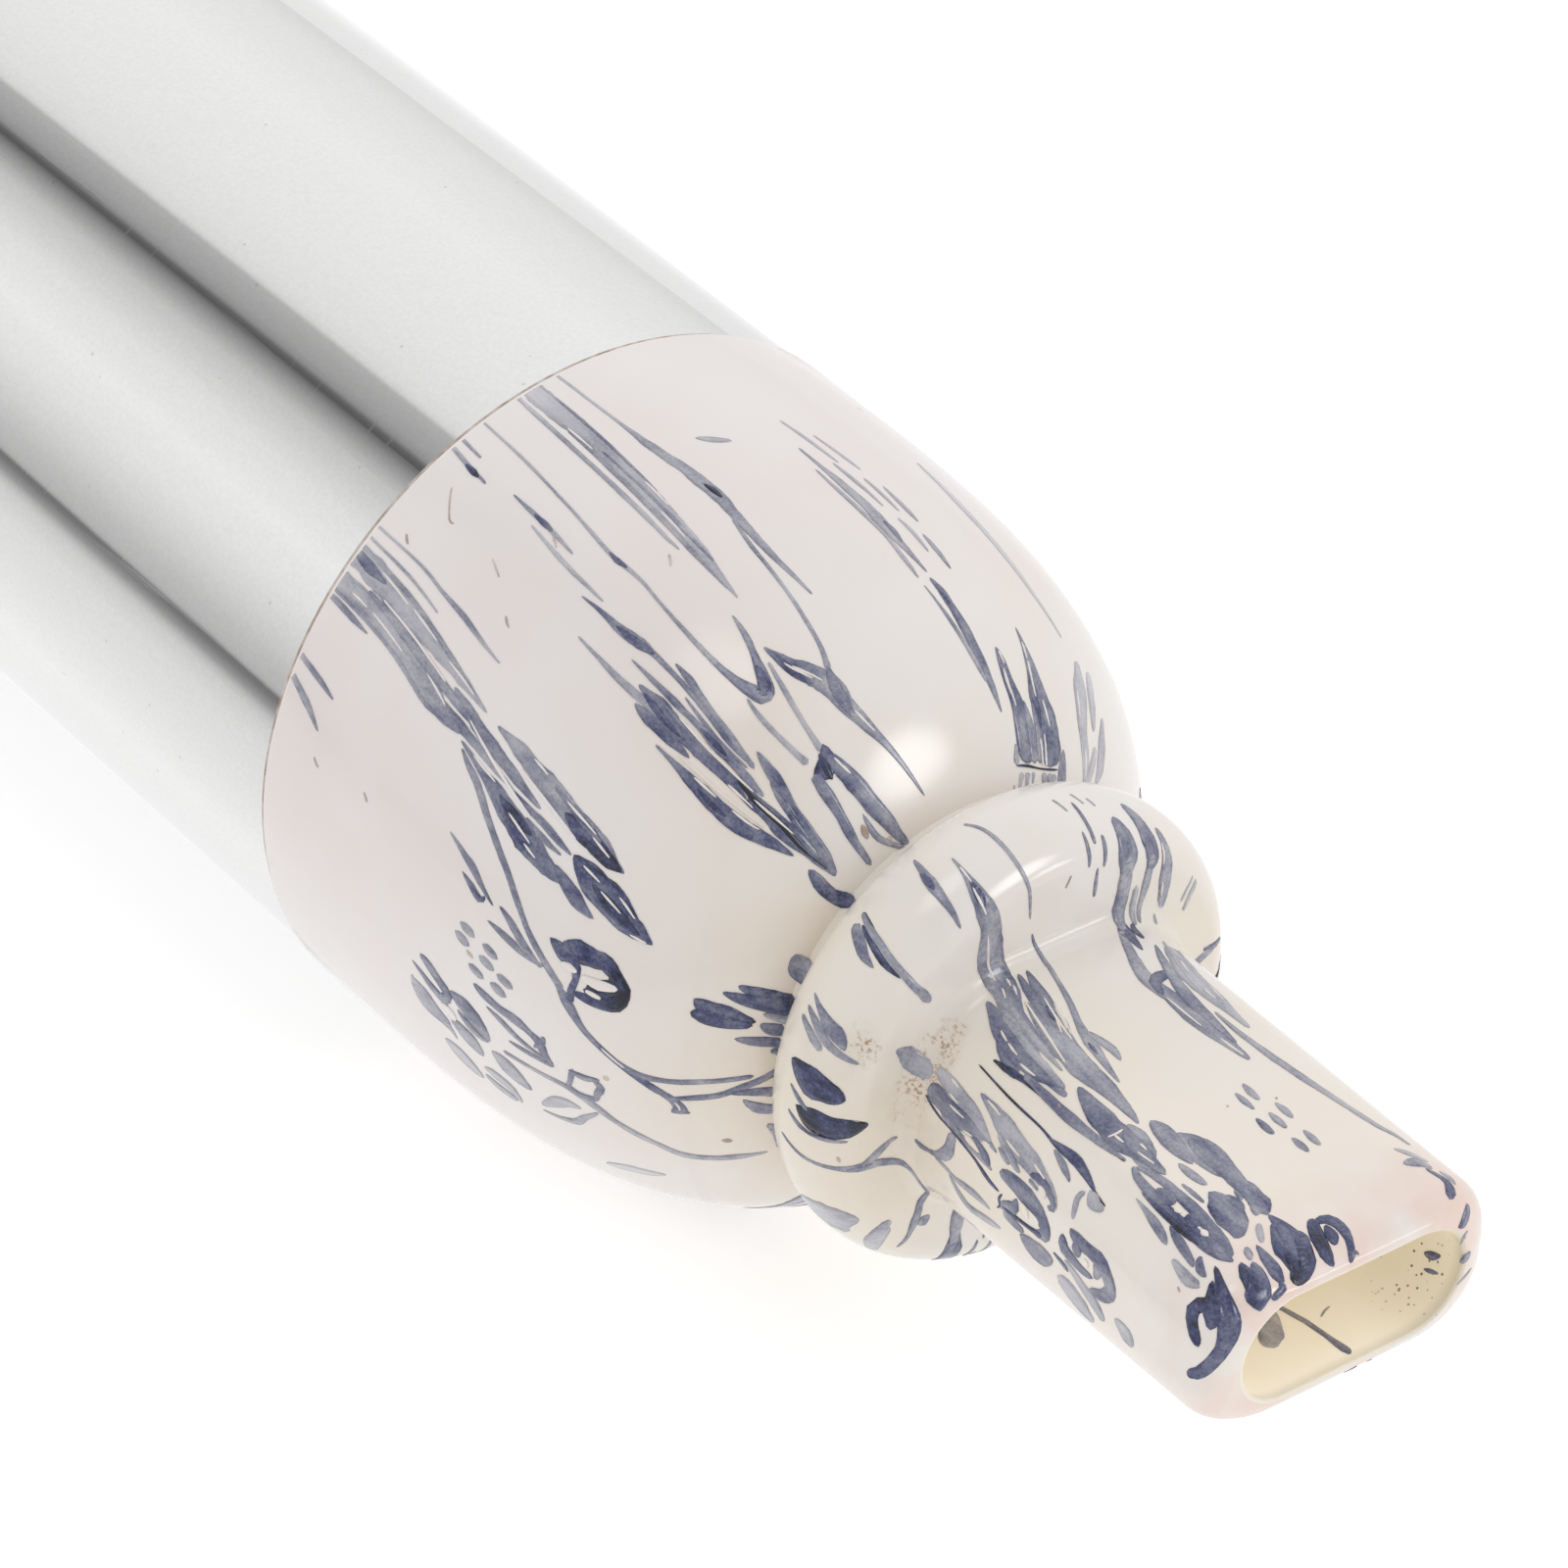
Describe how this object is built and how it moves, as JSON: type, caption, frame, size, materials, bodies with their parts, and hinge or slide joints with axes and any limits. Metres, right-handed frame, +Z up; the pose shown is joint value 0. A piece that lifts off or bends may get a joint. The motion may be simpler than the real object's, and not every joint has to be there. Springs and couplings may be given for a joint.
{
  "type": "bawu",
  "caption": "Vertically blown free-reed pipe with a domed mouthpiece cap, polished metal head sleeve, finger holes and a flared foot; it pulls apart at corked joints.",
  "frame": {"origin": "on the surface that the pipe lies on, under the middle of its length", "axes": "+X along the pipe towards the mouthpiece, +Z up, with the finger holes facing up"},
  "size_m": [0.43, 0.0322, 0.0322],
  "materials": {
    "ivory_plastic": "glossy ivory plastic with a printed blue brush and flower pattern",
    "nickel_silver": "polished nickel silver, finely scratched",
    "cork": "greased cork",
    "reed_brass": "bare brass",
    "band_rubber": "black rubber",
    "gasket": "matt film"
  },
  "bodies": {
    "upper_body": {"upper_body": "ivory_plastic", "upper_cork": "cork", "lower_cork": "cork"},
    "head_ring": {"socket_collar": "nickel_silver"},
    "head": {"head_sleeve": "nickel_silver", "wind_chamber": "ivory_plastic", "reed_tube": "ivory_plastic", "reed_tube_plug": "ivory_plastic", "reed_seal": "gasket", "reed_plate": "reed_brass", "reed_band_front": "band_rubber", "reed_band_rear": "band_rubber"},
    "tongue": {"reed_tongue": "reed_brass"},
    "cap_ring": {"cap_cork": "cork"},
    "cap": {"mouthpiece_cap": "ivory_plastic"},
    "foot_ring": {"middle_ferrule": "nickel_silver"},
    "foot": {"lower_body": "ivory_plastic", "foot_bell": "ivory_plastic", "foot_ferrule": "nickel_silver"}
  },
  "joints": [
    {"name": "head_slide", "type": "slide", "parent": "upper_body", "child": "head_ring", "axis": [1, 0, 0], "range_m": [0, 0.022]},
    {"name": "head_twist", "type": "hinge", "parent": "head_ring", "child": "head", "pos_m": [0.166, 0, 0.0161], "axis": [1, 0, 0], "continuous": true},
    {"name": "cap_slide", "type": "slide", "parent": "head", "child": "cap_ring", "axis": [1, 0, 0], "range_m": [0, 0.016]},
    {"name": "cap_twist", "type": "hinge", "parent": "cap_ring", "child": "cap", "pos_m": [0.166, 0, 0.0161], "axis": [1, 0, 0], "continuous": true},
    {"name": "foot_slide", "type": "slide", "parent": "upper_body", "child": "foot_ring", "axis": [-1, 0, 0], "range_m": [0, 0.022]},
    {"name": "foot_twist", "type": "hinge", "parent": "foot_ring", "child": "foot", "pos_m": [0.166, 0, 0.0161], "axis": [1, 0, 0], "continuous": true},
    {"name": "reed_swing", "type": "hinge", "parent": "head", "child": "tongue", "pos_m": [0.12125, 0, 0.02405], "axis": [0, 1, 0], "range_deg": [-4, 4], "stiffness_Nm_per_rad": 0.01}
  ]
}
